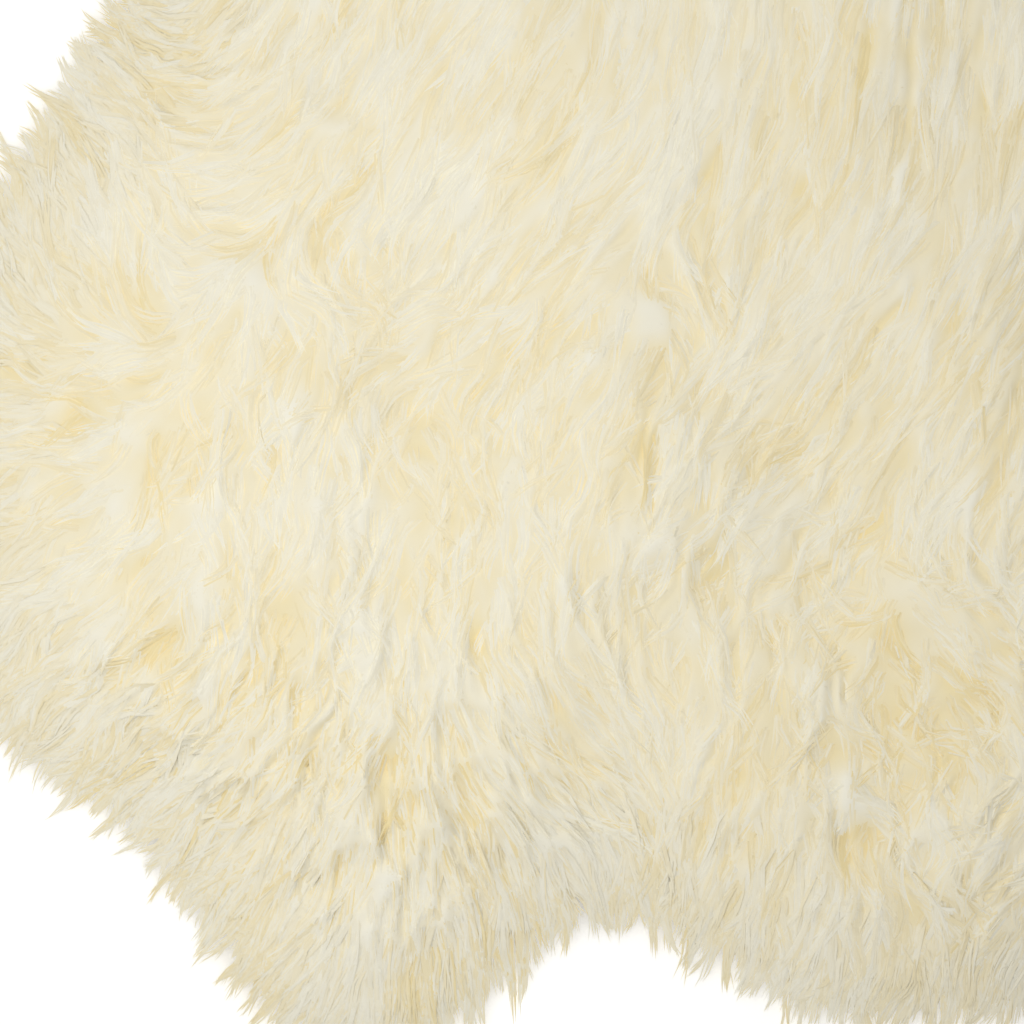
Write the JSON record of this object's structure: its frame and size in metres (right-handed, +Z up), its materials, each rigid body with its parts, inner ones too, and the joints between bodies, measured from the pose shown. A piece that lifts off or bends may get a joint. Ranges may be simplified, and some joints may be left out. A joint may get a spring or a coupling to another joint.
{
  "type": "sheepskin rug",
  "caption": "One whole natural sheepskin lying flat as a rug, with deep cream wool and pointed locks all round its uneven edge.",
  "frame": {"origin": "on the floor, under the middle of the pelt's own box", "axes": "+Y along the back from the tail to the neck, +X across the pelt, +Z up through the wool"},
  "size_m": [0.7202, 1.046, 0.0577],
  "materials": {
    "wool": "matte"
  },
  "bodies": {
    "root": {"pelt": "wool"}
  },
  "joints": []
}
